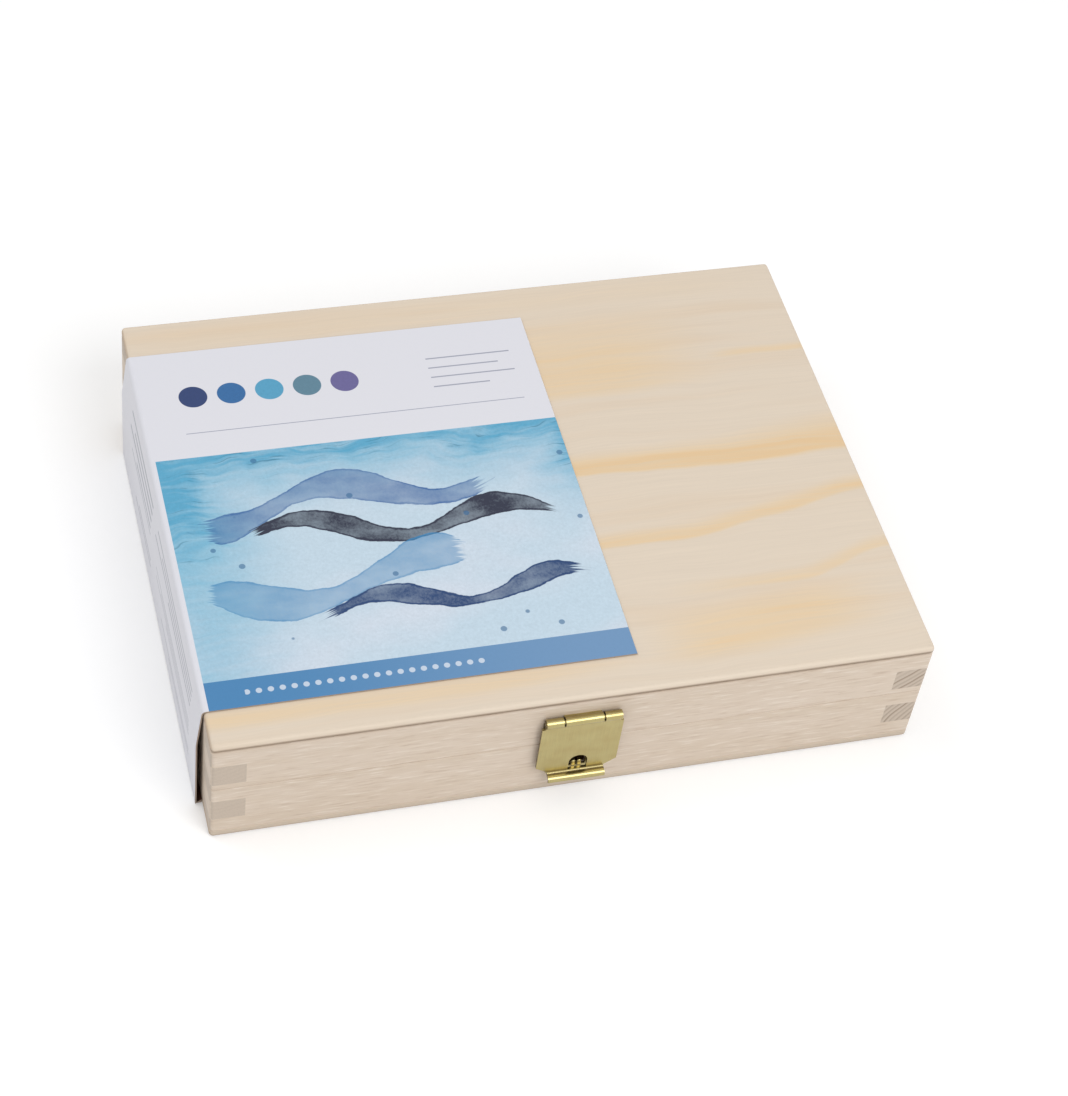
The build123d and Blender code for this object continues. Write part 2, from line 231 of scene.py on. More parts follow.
# The streaks of the top and bottom boards. Each has a lower edge at a place along Y, and bends of an
# amount between two places along X. Then come where it rises and where it falls off above that edge,
# where it starts and ends along X, how many times wider it gets to the right, and its weight.
STREAKS = (
    (-0.6, ((-1.8, 22, 64), (1.4, 64, 96)), (-0.6, 0.6), (2.4, 9.5), (-60, -10), (96, 140), 1.7, 0.92),
    (28.0, ((1.0, 20, 80),), (-1.6, 2.5), (12.0, 38.0), (-40, 12), (34, 74), 1.0, 0.62),
    (38.2, (), (-1.2, 0.2), (0.6, 3.4), (62, 76), (96, 120), 1.0, 0.6),
    (-27.0, ((5.0, 38, 72), (5.0, 66, 93)), (-0.5, 0.9), (1.8, 6.5), (-50, -5), (96, 140), 1.0, 0.7),
    (-45.6, ((7.6, 66, 94),), (-0.5, 0.9), (1.4, 5.5), (22, 64), (96, 140), 1.0, 0.55),
    (-67.0, ((3.6, 30, 80),), (-3.0, 4.0), (9.0, 20.0), (16, 40), (64, 92), 1.0, 0.64),
    (-58.6, ((3.4, 36, 76),), (-0.8, 1.4), (2.4, 6.5), (26, 50), (60, 86), 1.0, 0.66),
    (-67.4, ((0.8, -60, 20),), (-2.4, 1.0), (2.0, 5.5), (-120, -92), (-20, 22), 1.0, 0.6),
    (62.0, ((1.5, -60, 90),), (-2.0, 3.0), (5.0, 11.0), (-110, -80), (60, 96), 1.0, 0.14),
)
WIDENING_SPAN = (15, 92)

# Growth rings of the end grain: the centres left and right as (x, z), and the width of one ring
RING_LEFT, RING_RIGHT, RING_WIDTH = (-101.0, 60.0), (116.0, -6.0), 1.5


def joint_shade(m, colour):
    """Paints shade into the joints between the boards on the outer faces, and towards the floor."""
    patchy = m.line(m.noise(m.stretch(16, 16, 4), detail=2.0, seed=70.0), 0.5, 0.9)
    bands = [m.times(m.band(m.z, low, high, edge), strength) for low, high, edge, strength in JOINT_SHADE_BANDS]
    shades = [m.times(m.step(m.z, start, end), strength) for start, end, strength in FOOT_SHADES]
    outside = m.highest(m.step(m.size_of(m.x), *OUTER_X), m.step(m.size_of(m.y), *OUTER_Y))
    return m.mix(m.times(m.highest(*bands, *shades), outside, patchy), colour, JOINT_SHADE)


def streak(m, height, edge, bends, rise, fall, start, end, widening, weight):
    """One row of STREAKS as a mask, for a height along Y that ripples a little."""
    edge = m.add(edge, *[m.step(m.x, low, high, 0.0, amount) for amount, low, high in bends])
    distance = m.times(m.less(height, edge), m.step(m.x, *WIDENING_SPAN, 1.0, 1 / widening))
    body = m.times(m.step(distance, *rise), m.step(distance, *fall, 1.0, 0.0))
    return m.times(body, m.step(m.x, *start), m.step(m.x, *end, 1.0, 0.0), weight)


def panel_wood(name, turned=False):
    """Pale softwood board with its grain along X and a few wide, soft streaks."""
    m = Material(name)
    if turned:
        m.place = m.vector("MULTIPLY", m.place, (-1.0, -1.0, 1.0))
        m.x, m.y, m.z = m.split(m.place)
    wander = m.times(m.noise(m.stretch(70, 40), detail=2.0, seed=1.0), 7.0)
    ripple = m.times(m.noise(m.stretch(22, 8), seed=2.0), 3.0)
    y = m.add(m.y, wander, ripple)
    broad = m.noise(m.scaled((m.x, 120), (y, 6.5)), detail=2.0, seed=3.0)
    middle = m.noise(m.scaled((m.x, 60), (y, 1.7)), detail=2.0, seed=19.0)
    fibre = m.noise(m.scaled((m.x, 26), (y, 0.5)), seed=4.0)
    near = m.add(m.y, m.times(ripple, 0.7))
    total = m.highest(*[streak(m, near, *row) for row in STREAKS])
    total = m.times(total, m.line(fibre, 0.9, 1.0), m.line(middle, 1.1, 1.0), m.line(broad, 0.7, 1.0))
    colour = m.mix(m.step(broad, -0.05, 0.34), TOP_PALE, TOP_WARM)
    colour = m.mix(total, colour, STREAK)
    colour = m.mix(m.times(m.step(total, 0.62, 1.05), 0.4), colour, STREAK_CORE)
    colour = m.shade(colour, m.add(m.times(fibre, 0.12), m.times(middle, 0.06)))
    ends = m.step(m.size_of(m.normal_x), 0.55, 0.95)
    pores = m.noise(m.stretch(0.9, 0.35, 0.5), seed=5.0)
    colour = m.mix(m.times(ends, 0.75), colour, m.shade(TOP_END, m.times(pores, 0.3)))
    # Painted shade at the joints and towards the floor
    colour = joint_shade(m, colour)
    m.bump(m.add(fibre, m.times(ends, pores)), 0.25, 0.06 * MM)
    return m.finish(colour, m.line(fibre, 0.12, 0.52), Specular_IOR_Level=0.35)


def end_rings(m, side):
    """Growth rings on end grain. side is the coordinate that runs across the end face."""
    right = m.step(side, -2.0, 2.0)
    offsets = [m.less(value, m.line(right, right_centre - left_centre, left_centre))
               for value, left_centre, right_centre in zip((side, m.z), RING_LEFT, RING_RIGHT)]
    wobble = m.times(m.noise(m.stretch(9, 9, 9), detail=1.0, seed=10.0), 1.6)
    radius = m.add(m.length(*offsets), wobble)
    phase = m.math("FRACT", m.line(radius, 1 / RING_WIDTH, 0.35))
    strength = m.step(m.noise(m.join(m.line(radius, 1 / 2.4, 0), 0.0), detail=1.0, seed=18.0), -0.2, 0.2)
    ring = m.times(m.step(phase, 0.3, 0.8), m.step(phase, 0.88, 0.995, 1.0, 0.0))
    return m.times(ring, m.line(strength, 0.85, 0.2), m.line(right, 0.75, 0.08))


def rim_wood(name, grain):
    """Pale hardwood with short fine flecks along the grain, and rings on its end grain."""
    m = Material(name)
    along, across, end = (m.x, m.y, m.normal_x) if grain == "X" else (m.y, m.x, m.normal_y)
    level = m.add(m.z, m.times(m.noise(m.stretch(60, 60, 30), detail=1.0, seed=6.0), 2.0))

    def flecks(length, width, **settings):
        return m.noise(m.scaled((along, length), (level, width), (across, width)), **settings)

    fleck = flecks(7.0, 0.68, roughness=0.55, seed=7.0)
    fine = flecks(5.0, 0.22, detail=2.0, seed=8.0)
    broad = flecks(80, 4.5, detail=2.0, seed=9.0)
    colour = m.mix(m.step(broad, -0.25, 0.25), RIM_PALE, RIM_WARM)
    colour = m.mix(m.times(m.step(fleck, 0.02, 0.28), 0.85), colour, RIM_FLECK)
    colour = m.mix(m.times(m.step(fleck, -0.02, -0.22), 0.9), colour, RIM_GLINT)
    colour = m.shade(colour, m.times(fine, 0.12))
    pores = m.noise(m.stretch(0.42, 0.42, 0.42), detail=2.0, seed=11.0)
    end_colour = m.shade(m.mix(end_rings(m, across), RIM_END, RIM_RING), m.times(pores, 0.2))
    ends = m.step(m.size_of(end), 0.6, 0.85)
    colour = m.mix(ends, colour, end_colour)
    # Painted shade: the pocket behind the latch's window is coloured dark
    pocket_shade = m.times(m.step(m.size_of(m.x), *POCKET_HALF_X), m.band(m.z, *POCKET_Z, 0.3),
                     m.band(m.y, *POCKET_Y, 0.2))
    colour = m.mix(pocket_shade, colour, POCKET_SHADE)
    # Painted shade at the joints and towards the floor
    colour = joint_shade(m, colour)
    m.bump(m.add(fleck, fine, m.times(ends, pores)), 0.22, 0.06 * MM)
    return m.finish(colour, m.line(fleck, 0.1, 0.55), Specular_IOR_Level=0.3)


def divider_wood(name):
    """Thin board with fine fibres along it, darker on its cut top and bottom edges."""
    m = Material(name)
    fibre = m.noise(m.stretch(20, 20, 0.5), seed=12.0)
    broad = m.noise(m.stretch(40, 40, 5), detail=2.0, seed=13.0)
    colour = m.shade(m.mix(m.step(broad, -0.25, 0.25), DIVIDER_PALE, DIVIDER_WARM), m.times(fibre, 0.1))
    pores = m.noise(m.stretch(0.5, 0.5, 0.5), detail=2.0, seed=14.0)
    edge = m.times(m.step(m.size_of(m.normal_z), 0.4, 0.8), 0.5)
    colour = m.mix(edge, colour, m.shade(DIVIDER_EDGE, m.times(pores, 0.35)))
    m.bump(m.add(fibre, pores), 0.3, 0.05 * MM)
    return m.finish(colour, 0.6, Specular_IOR_Level=0.25)


# Brass
BRASS = srgb(178, 165, 111)
BRASS_WARM = srgb(172, 156, 101)
# Colour of the painted shade on the brass
BRASS_SHADE = srgb(84, 66, 34)

# Places of painted shade on the latch: the crease above its lip, and the seam under its barrel
CREASE_Y, CREASE_Z, SEAM_Z, SEAM_X = (-76.5, -75.7), (10.3, 9.8), (28.85, 29.2), (6.5, 5.0)
# Distances of the hinges' screws: a hinge from the box's middle, a screw from the hinge's middle
# and from the leaf's front edge, and the radius of its head
HINGE_X, SCREW_ASIDE, SCREW_INSET, SCREW_RADIUS = 55.0, 6.2, 3.9, 1.5


def brass(name, brushed, roughness, screws=False):
    """Lacquered brass with fine vertical brush lines. Cut edges, undersides, the crease above the
    latch's lip and the seam under its barrel get painted shade in dark brown."""
    m = Material(name)
    lines = m.noise(m.stretch(0.16, 0.9, 7.0), seed=15.0)
    cloud = m.noise(m.stretch(5, 5, 4), seed=16.0)
    speck = m.noise(m.stretch(0.7, 0.7, 0.7), detail=2.0, seed=17.0)
    colour = m.mix(m.step(cloud, -0.2, 0.25), BRASS, BRASS_WARM)
    colour = m.shade(colour, m.times(lines, 0.34 * brushed))
    # Painted shade on cut edges, undersides, the crease above the lip and the seam under the barrel
    cut = m.times(m.step(m.size_of(m.normal_x), 0.5, 0.9), 0.75)
    under = m.times(m.step(m.normal_z, -0.15, -0.8), 0.7)
    crease = m.times(m.band(m.y, *CREASE_Y, 0.16), m.step(m.z, *CREASE_Z), 0.85)
    seam = m.times(m.band(m.z, *SEAM_Z, 0.2), m.step(m.x, *SEAM_X), 0.8)
    brass_shade = m.times(m.highest(cut, under, crease, seam), m.line(speck, 0.5, 0.95))
    if screws:
        # Painted shade: a dark ring and slot at each screw's place
        aside = m.less(m.size_of(m.less(m.size_of(m.x), HINGE_X)), SCREW_ASIDE)
        screw_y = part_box("hinge_right_base_leaf")[0].y / MM + SCREW_INSET
        reach = m.length(aside, m.less(m.y, screw_y))
        seat = m.band(reach, SCREW_RADIUS, SCREW_RADIUS + 0.12, 0.06)
        groove = m.times(m.step(m.size_of(aside), 0.26, 0.2), m.step(reach, 1.55, 1.45))
        brass_shade = m.highest(m.times(brass_shade, m.step(m.size_of(m.normal_z), 0.9, 0.5)), seat, groove)
    colour = m.mix(brass_shade, colour, BRASS_SHADE)
    rough = m.add(m.line(cloud, 0.12, roughness), m.times(brass_shade, 0.25))
    m.bump(lines, 0.35 * brushed, 0.03 * MM)
    return m.finish(colour, rough, Metallic=1.0, Coat_Weight=0.5, Coat_Roughness=0.14)


# Printed card
PAPER = srgb(226, 226, 233)
WASH_PALE = srgb(196, 216, 230)
WASH_BLUE = srgb(108, 180, 210)
WASH_DEEP = srgb(58, 150, 192)
WASH_CLEAR = srgb(221, 224, 235)
WASH_WISP = srgb(36, 104, 134)
SPATTER = srgb(48, 104, 150)
STRIP_LEFT = srgb(72, 132, 182)
STRIP_RIGHT = srgb(112, 150, 190)
STRIP_DOT = srgb(216, 226, 238)
SHORT_RULE = srgb(120, 126, 150)
LONG_RULE = srgb(110, 118, 146)
SIDE_RULE = srgb(128, 132, 146)
BARE_BOARD = srgb(168, 150, 134)
# Dark brown painted shade on the card's inner face and on the strip at its foot
INNER_FACE_SHADE = srgb(92, 64, 52)
PAINTS = (srgb(38, 60, 110), srgb(46, 104, 160), srgb(84, 160, 196), srgb(92, 130, 150), srgb(104, 98, 150))

# Brush strokes: height, slope, amplitude, wavelength, phase, half width, seed, start and end along X,
# then the pigment and how strongly it covers
STROKES = (
    ((4.0, 0.05, 5.0, 62.0, 0.4, 4.2, 31.0, -88, -6), srgb(36, 92, 156), 0.9),
    ((-11.0, -0.04, 4.2, 55.0, 2.2, 3.0, 32.0, -76, 11), srgb(34, 40, 62), 1.25),
    ((-24.0, 0.06, 5.0, 70.0, 4.0, 4.6, 33.0, -91, -16), srgb(54, 132, 184), 0.8),
    ((-35.0, 0.02, 3.2, 48.0, 1.0, 2.6, 34.0, -62, 13), srgb(30, 64, 112), 1.15),
)
# Rules in the header as start, end and height, and on the side panel as height, start and end
HEADER_RULES = ((-14, 10, 48.5), (-14, 6, 44.9), (-14, 10, 41.3), (-14, 2, 37.7))
SIDE_RULES = (
    (33.0, -52, 2), (31.2, -52, -6), (29.4, -52, 4), (27.6, -52, -18), (21.0, -52, 0), (19.2, -52, -8),
    (17.4, -52, 0), (15.6, -52, -16), (9.0, -52, -8), (7.2, -52, -20), (33.0, 10, 46), (30.4, 10, 40),
    (27.8, 10, 46), (25.2, 10, 34), (22.6, 10, 42), (12.0, 10, 30), (9.4, 10, 36),
)
# The first swatch, the spacing, height and radius of the five, and the same for the dots in the strip
SWATCH_X, SWATCH_STEP, SWATCH_Y, SWATCH_RADIUS = -80.0, 10.5, 43.5, 3.9
DOT_STEP, DOT_Y, DOT_RADIUS = 3.0, -58.3, 0.8
# The upper edges of the picture and of the strip, the left end of both, and where the side panel begins
PICTURE_TOP, STRIP_TOP, PRINT_LEFT, SIDE_PANEL_X = 21.4, -53.9, -93.7, (-95.15, -95.3)
PRINT_EDGE = 0.02


def wash(m, grain):
    """A wash that is deep at the corners and pale along a diagonal, with wisps and grainy pigment."""
    drift = m.times(m.noise(m.stretch(34, 26), roughness=0.6, seed=20.0), 22.0)
    x = m.add(m.x, drift)
    y = m.add(m.y, m.times(drift, 0.8))
    top = m.step(y, -6, 22)
    left = m.times(m.step(x, -60, -92), m.step(y, 8, -30, 1.0, 0.6))
    right = m.times(m.step(x, -6, 22), m.step(y, -22, 10))
    deep = m.highest(m.times(top, 0.92), left, right)
    bands = m.noise(m.scaled((x, 15), (y, 2.2)), seed=22.0)
    deep = m.math("ADD", deep, m.times(bands, deep, 0.9), clamp=True)
    colour = m.mix(deep, WASH_PALE, WASH_BLUE)
    colour = m.mix(m.times(m.step(deep, 0.7, 1.0), 0.45), colour, WASH_DEEP)
    clearing = m.step(m.noise(m.stretch(46, 30), seed=23.0), -0.1, 0.22)
    colour = m.mix(m.times(clearing, m.less(1.0, deep), 0.7), colour, WASH_CLEAR)
    wisps = m.noise(m.scaled((x, 10), (y, 0.65)), seed=27.0)
    colour = m.mix(m.times(m.step(wisps, 0.07, 0.22), m.step(deep, 0.5, 0.95), 0.7), colour, WASH_WISP)
    coarse = m.noise(m.stretch(2.4, 2.0), detail=2.0, seed=28.0)
    return m.shade(colour, m.add(m.times(grain, 0.36), m.times(coarse, 0.12)))


def stroke(m, grain, height, slope, amplitude, length, phase, half, seed, x_start, x_end):
    """A rolling brush stroke as a mask: see-through, darker where the pigment has settled along
    its edges, and dry at its ends."""
    path = m.line(m.x, slope, height)
    swing = m.times(m.math("SINE", m.line(m.x, 2 * math.pi / length, phase)), amplitude)
    rough = m.times(m.noise(m.stretch(7, 3.5), detail=4.0, roughness=0.55, seed=seed), 2.6)
    aside = m.less(m.y, m.add(path, swing))
    swell = m.line(m.math("SINE", m.line(m.x, 2 * math.pi / (length * 0.7), phase + 1)), half * 0.35, half)
    tip = m.times(m.step(m.x, x_start - 2, x_start + 12), m.step(m.x, x_end + 2, x_end - 12))
    swell = m.times(swell, m.math("POWER", tip, 0.45))
    inside = m.less(swell, m.size_of(m.add(aside, rough)))
    body = m.step(inside, -0.12, 0.2)
    settled = m.times(m.step(inside, -0.1, 0.1), m.step(inside, 0.9, 0.15))
    pool = m.step(m.noise(m.stretch(13, 7), detail=2.0, seed=seed + 0.5), -0.25, 0.25)
    hairs = m.noise(m.scaled((m.x, 12), (aside, 0.5)), seed=seed + 5)
    dry = m.step(m.add(hairs, m.line(m.step(tip, 0.95, 0.1), -0.5, 0.42)), 0.0, 0.16)
    depth = m.add(m.line(pool, 0.34, 0.5), m.times(settled, 0.28), m.times(grain, 0.5))
    return m.times(body, dry, depth)


def card_print(m):
    """The card's upper face: a header with swatches and rules, the picture, and a strip with dots."""
    grain = m.noise(m.stretch(0.9, 0.9), detail=4.0, roughness=0.7, seed=21.0)
    picture = wash(m, grain)
    for path, pigment, cover in STROKES:
        picture = m.mix(m.times(stroke(m, grain, *path), cover), picture, pigment)
    distance, pick = m.cells(m.stretch(7.5, 7.5))
    drops = m.times(m.step(distance, 0.13, 0.1), m.step(m.split(pick)[0], 0.62, 0.64))
    picture = m.mix(m.times(drops, 0.7), picture, SPATTER)

    def box(low_x, high_x, low_y, high_y):
        return m.times(m.band(m.x, low_x, high_x, 0.04), m.band(m.y, low_y, high_y, 0.04))

    on_lid = m.step(m.x, PRINT_LEFT - PRINT_EDGE, PRINT_LEFT + PRINT_EDGE)
    below_header = m.step(m.y, PICTURE_TOP + PRINT_EDGE, PICTURE_TOP - PRINT_EDGE)
    in_strip = m.step(m.y, STRIP_TOP + PRINT_EDGE, STRIP_TOP - PRINT_EDGE)
    strip = m.shade(m.mix(m.step(m.x, -90, 10), STRIP_LEFT, STRIP_RIGHT), m.times(grain, 0.1))
    colour = m.mix(m.times(below_header, on_lid), PAPER, picture)
    colour = m.mix(m.times(in_strip, on_lid), colour, strip)
    for number, paint in enumerate(PAINTS):
        reach = m.length(m.less(m.x, SWATCH_X + SWATCH_STEP * number), m.less(m.y, SWATCH_Y))
        swatch = m.step(reach, SWATCH_RADIUS + 0.06, SWATCH_RADIUS - 0.06)
        colour = m.mix(swatch, colour, m.shade(paint, m.times(grain, 0.35)))
    for start, end, height in HEADER_RULES:
        colour = m.mix(m.times(box(start, end, height - 0.22, height + 0.22), 0.7), colour, SHORT_RULE)
    colour = m.mix(m.times(box(-84, 10, 30.0, 30.25), 0.7), colour, LONG_RULE)
    row = m.less(m.math("PINGPONG", m.add(m.x, 100.0), DOT_STEP), DOT_STEP / 2)
    dots = m.step(m.length(row, m.less(m.y, DOT_Y)), DOT_RADIUS + 0.05, DOT_RADIUS - 0.05)
    return m.mix(m.times(dots, m.band(m.x, -84, -22, 0.05), 0.8), colour, STRIP_DOT)


def printed_card(name):
    """Printed card: its upper face, a side panel with thin grey rules, dark brown painted shade inside,
    bare cut edges.
    """
    m = Material(name)
    side = PAPER
    for height, start, end in SIDE_RULES:
        half_height = 0.5 if start > 0 else 0.34
        rule = m.times(m.band(m.z, height - half_height, height + half_height, 0.08),
                       m.band(m.y, start, end, 0.05))
        side = m.mix(m.times(rule, 0.62), side, SIDE_RULE)
    colour = m.mix(m.step(m.x, *SIDE_PANEL_X), card_print(m), side)

    # The strip at the foot faces up, and is painted dark brown as shade, as the inner face is
    lip = m.times(m.step(m.normal_z, 0.3, 0.6), m.step(m.z, 2.2, 1.6))
    outside = m.highest(m.step(m.normal_z, 0.25, 0.45), m.step(m.normal_x, -0.35, -0.55))
    outside = m.times(outside, m.less(1.0, lip))
    # Painted shade: the inner faces and the strip at the foot are dark brown
    inner = m.highest(m.step(m.normal_z, -0.4, -0.8), lip,
                      m.times(m.step(m.normal_x, 0.4, 0.8), m.step(m.x, -90.0, -94.0)))
    fibre = m.noise(m.stretch(1.4, 1.4, 1.4), seed=26.0)
    bare = m.shade(m.mix(inner, BARE_BOARD, INNER_FACE_SHADE), m.times(fibre, 0.1))
    colour = m.mix(outside, bare, colour)
    m.bump(fibre, 0.12, 0.04 * MM)
    return m.finish(colour, m.line(fibre, 0.08, 0.42), Specular_IOR_Level=0.4)


# Paint tubes
ENAMEL = srgb(226, 226, 228)
TUBE_LINE = srgb(60, 62, 70)
TUBE_METAL = srgb(196, 197, 200)
CAP_BLACK = srgb(34, 34, 37)
CAP_SCUFF = srgb(74, 74, 78)
SHOULDER_Y = -25.07
# Places along a tube, from its shoulder: the band of colour, a thin line, the bare ends and the folds
COLOUR_BAND, LINE_BAND = (5.0, 21.0), (23.0, 23.6)
BARE_SHOULDER, BARE_TAIL, TAIL_FOLDS = (0.6, 0.4), (79.6, 79.8), (84.2, 84.8)


def tube_metal(name, paint, number):
    """White enamelled metal tube with a band of its paint's colour below the shoulder."""
    m = Material(name)
    along = m.less(m.y, SHOULDER_Y)
    dents = m.noise(m.stretch(16, 9, 16), seed=40.0 + number)
    creases = m.noise(m.stretch(3.0, 20, 6), detail=2.0, seed=50.0 + number)
    grain = m.noise(m.stretch(0.8, 0.8, 0.8), seed=60.0)
    colour = m.mix(m.band(along, *COLOUR_BAND, 0.05), ENAMEL, m.shade(paint, m.times(grain, 0.15)))
    colour = m.mix(m.times(m.band(along, *LINE_BAND, 0.05), 0.9), colour, TUBE_LINE)
    bare = m.highest(m.step(along, *BARE_SHOULDER), m.step(along, *BARE_TAIL))
    colour = m.mix(bare, colour, m.shade(TUBE_METAL, m.times(creases, 0.15)))
    folds = m.times(m.math("SINE", m.line(along, 3.6, 0.0)), m.step(along, *TAIL_FOLDS))
    m.bump(m.add(m.times(dents, 2.2), m.times(creases, 0.8), m.times(folds, 0.5)), 0.5, 0.6 * MM)
    return m.finish(colour, m.line(bare, 0.02, 0.33), Metallic=m.times(bare, 0.9))


def cap_plastic(name):
    """Black moulded plastic, a little scuffed on its ribs."""
    m = Material(name)
    skin = m.noise(m.stretch(0.35, 0.35, 0.35), seed=41.0)
    scuff = m.noise(m.stretch(2.2, 2.2, 2.2), detail=4.0, seed=42.0)
    colour = m.mix(m.times(m.step(scuff, 0.08, 0.3), 0.3), CAP_BLACK, CAP_SCUFF)
    m.bump(skin, 0.2, 0.08 * MM)
    return m.finish(colour, m.line(scuff, 0.25, 0.4))


materials = {
    "panel": panel_wood("lid_panel_wood"),
    "bottom": panel_wood("bottom_panel_wood", turned=True),
    "long": rim_wood("rim_wood_lengthwise", "X"),
    "short": rim_wood("rim_wood_crosswise", "Y"),
    "divider": divider_wood("divider_wood"),
    "latch": brass("latch_brass", 1.0, 0.3),
    "hinge": brass("hinge_brass", 0.6, 0.34, screws=True),
    "card": printed_card("printed_card"),
    "cap": cap_plastic("cap_plastic"),
}
for number, paint in enumerate(PAINTS, start=1):
    materials[f"tube_{number}_body"] = tube_metal(f"tube_{number}_metal", paint, number)

# The word that is in a node's name picks its material. Only the tubes' bodies have none of these,
# and have a material of their own name.
FINISHES = (
    ("lid_top_panel", "panel"), ("base_bottom_panel", "bottom"), ("front_board", "long"),
    ("back_board", "long"), ("left_board", "short"), ("right_board", "short"), ("divider", "divider"),
    ("latch", "latch"), ("hinge", "hinge"), ("cap", "cap"), ("sleeve_card", "card"),
)


def shading_group(angle):
    """A modifier that shades a mesh smooth, except at edges sharper than angle, in degrees."""
    group = bpy.data.node_groups.new(f"smooth_below_{angle}", "GeometryNodeTree")
    for way in ("INPUT", "OUTPUT"):
        group.interface.new_socket("Geometry", in_out=way, socket_type="NodeSocketGeometry")
    start, end = group.nodes.new("NodeGroupInput"), group.nodes.new("NodeGroupOutput")
    merge = group.nodes.new("GeometryNodeMergeByDistance")
    merge.inputs["Distance"].default_value = 0.001 * MM
    faces, edges = (group.nodes.new("GeometryNodeSetShadeSmooth") for _ in range(2))
    faces.domain, edges.domain = "FACE", "EDGE"
    bend = group.nodes.new("GeometryNodeInputMeshEdgeAngle")
    compare = group.nodes.new("FunctionNodeCompare")
    compare.data_type, compare.operation = "FLOAT", "LESS_THAN"
    compare.inputs[1].default_value = math.radians(angle)
    links = (
        (start.outputs[0], merge.inputs["Geometry"]),
        (merge.outputs[0], faces.inputs["Geometry"]),
        (faces.outputs[0], edges.inputs["Geometry"]),
        (edges.outputs[0], end.inputs[0]),
        (bend.outputs["Unsigned Angle"], compare.inputs[0]),
        (compare.outputs[0], edges.inputs["Shade Smooth"]),
    )
    for source, target in links:
        group.links.new(source, target)
    return group


round_shading = shading_group(36)
rib_shading = shading_group(16)
for name, node in nodes.items():
    keys = [key for word, key in FINISHES if word in name]
    node.data.materials.clear()
    node.data.materials.append(materials[keys[0] if keys else name])
    if name.startswith(("tube_", "latch_", "hinge_")) and "divider" not in name:
        shading = rib_shading if name.endswith("cap") else round_shading
        node.modifiers.new("shading", "NODES").node_group = shading


# Small fasteners, and a dark strip of painted shade at the card's foot, which the part leaves to the scene
NAIL_RADIUS, NAIL_HEIGHT, NAIL_ASIDE = 1.3 * MM, 0.38 * MM, 5.2 * MM
PLATE_THICKNESS = 0.4 * MM
HEAD_HEIGHT, SLOT_WIDTH, HALF_LEAF_GAP = 0.03 * MM, 0.44 * MM, 0.05 * MM


def mesh_piece(name, mesh_maker, material, body):
    mesh = bpy.data.meshes.new(name)
    builder = bmesh.new()
    mesh_maker(builder)
    bmesh.ops.recalc_face_normals(builder, faces=builder.faces)
    builder.to_mesh(mesh)
    builder.free()
    piece = bpy.data.objects.new(name, mesh)
    scene.collection.objects.link(piece)
    mesh.materials.append(material)
    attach(piece, body)


def nail_head(place, rings=6, segments=40):
    """Makes a low domed head. Its foot lies at place and it rises towards the front."""
    def maker(builder):
        outward, across = Vector((0, -1, 0)), Vector((1, 0, 0))
        side = outward.cross(across)
        rows = []
        for ring in range(1, rings + 1):
            rise = ring / rings * math.pi / 2
            reach, lift = NAIL_RADIUS * math.sin(rise), math.cos(rise)
            row = []
            for turn in range(segments):
                angle = 2 * math.pi * turn / segments
                spot = place + outward * NAIL_HEIGHT * lift + across * reach * math.cos(angle)
                row.append(builder.verts.new(spot + side * reach * math.sin(angle)))
            rows.append(row)
        crown = builder.verts.new(place + outward * NAIL_HEIGHT)
        for turn in range(segments):
            following = (turn + 1) % segments
            builder.faces.new((crown, rows[0][turn], rows[0][following]))
            for inner, outer in zip(rows, rows[1:]):
                builder.faces.new((inner[turn], outer[turn], outer[following], inner[following]))
        builder.faces.new(rows[-1])
        for face in builder.faces:
            face.smooth = len(face.verts) < 10
    return maker


def screw_head(place, outward, segments=16):
    """Makes a flat countersunk head, in two halves on both sides of a slot along Y."""
    def maker(builder):
        radius, height, half_slot = SCREW_RADIUS * MM, HEAD_HEIGHT, SLOT_WIDTH / 2
        start = math.asin(half_slot / radius)
        for side in (-1, 1):
            rows = []
            for reach, lift in ((radius, -height), (radius, height * 0.4), (radius - height, height)):
                row = []
                for step in range(segments + 1):
                    angle = start + (math.pi - 2 * start) * step / segments
                    out = max(reach * math.sin(angle), half_slot)
                    spot = place + Vector((side * out, reach * math.cos(angle), 0))
                    row.append(builder.verts.new(spot + outward * lift))
                rows.append(row)
            for lower, upper in zip(rows, rows[1:]):
                for step in range(segments + 1):
                    following = (step + 1) % (segments + 1)
                    builder.faces.new((lower[step], lower[following], upper[following], upper[step]))
            builder.faces.new(rows[-1])
            builder.faces.new(rows[0])
    return maker


def card_shade_lip(builder):
    """Makes a narrow wedge that closes the foot of the gap between the card's side and the box. It is
    painted dark brown, as shade in that gap.
    """
    low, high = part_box("sleeve_card")
    inner_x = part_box("base_left_board")[0].x - 0.03 * MM
    outer_x = low.x + 0.3 * MM
    corners = [Vector((x, y, low.z + z * MM)) for x, rise in ((outer_x, 0.3), (inner_x, 1.4))
               for y in (low.y + 0.1 * MM, high.y - 0.1 * MM) for z in (0.02, rise)]
    points = [builder.verts.new(corner) for corner in corners]
    for face in ((0, 1, 3, 2), (4, 6, 7, 5), (0, 4, 5, 1), (2, 3, 7, 6), (0, 2, 6, 4), (1, 5, 7, 3)):
        builder.faces.new([points[corner] for corner in face])
    bmesh.ops.bevel(builder, geom=builder.edges[:], offset=0.05 * MM, segments=2, affect="EDGES")


catch_low, catch_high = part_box("latch_catch")
leaf_nail_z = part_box("latch_fixed_leaf")[0].z + 3.2 * MM
catch_nail_z = (catch_low.z + catch_high.z) / 2
for number, x in enumerate((-NAIL_ASIDE, NAIL_ASIDE), start=1):
    for plate, z, body in (("leaf", leaf_nail_z, "lid"), ("catch", catch_nail_z, "base")):
        place = Vector((x, catch_low.y + PLATE_THICKNESS, z))
        mesh_piece(f"latch_{plate}_nail_{number}", nail_head(place), materials["latch"], body)

